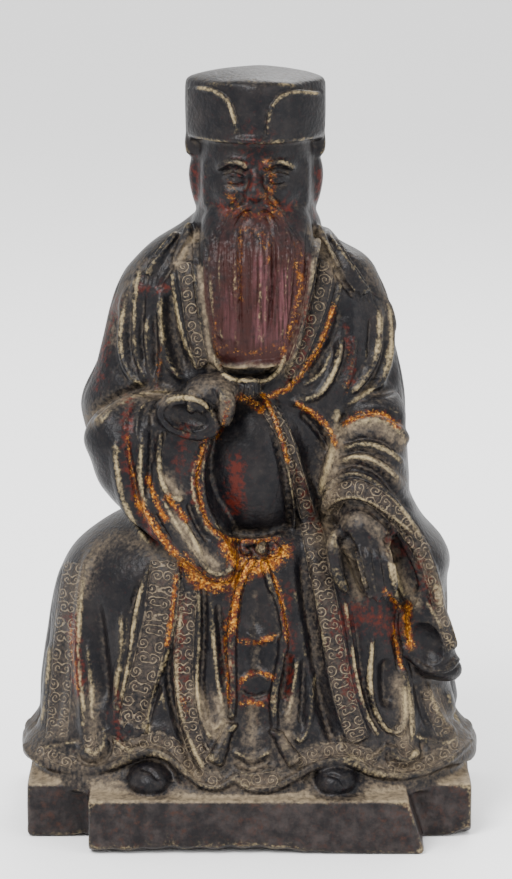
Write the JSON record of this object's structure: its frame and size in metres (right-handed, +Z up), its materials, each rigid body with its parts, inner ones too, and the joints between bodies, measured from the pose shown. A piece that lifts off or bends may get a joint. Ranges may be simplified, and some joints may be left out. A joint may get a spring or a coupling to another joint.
{
  "type": "gilt bronze immortal figure",
  "caption": "Seated bearded immortal in a square cap and wide-sleeved robe, cast in dark bronze with worn gilding and red lacquer, on a stepped plinth.",
  "frame": {"origin": "middle of the overall box at the height of the plinth's underside", "axes": "+X to the viewer's right as the figure is faced, -Y out of the front, +Z up"},
  "size_m": [0.2086, 0.134, 0.3432],
  "materials": {
    "seated_immortal": "dark patinated bronze with worn gilding, red lacquer and pale dust in the carving"
  },
  "bodies": {
    "root": {"seated_immortal": "seated_immortal"}
  },
  "joints": []
}
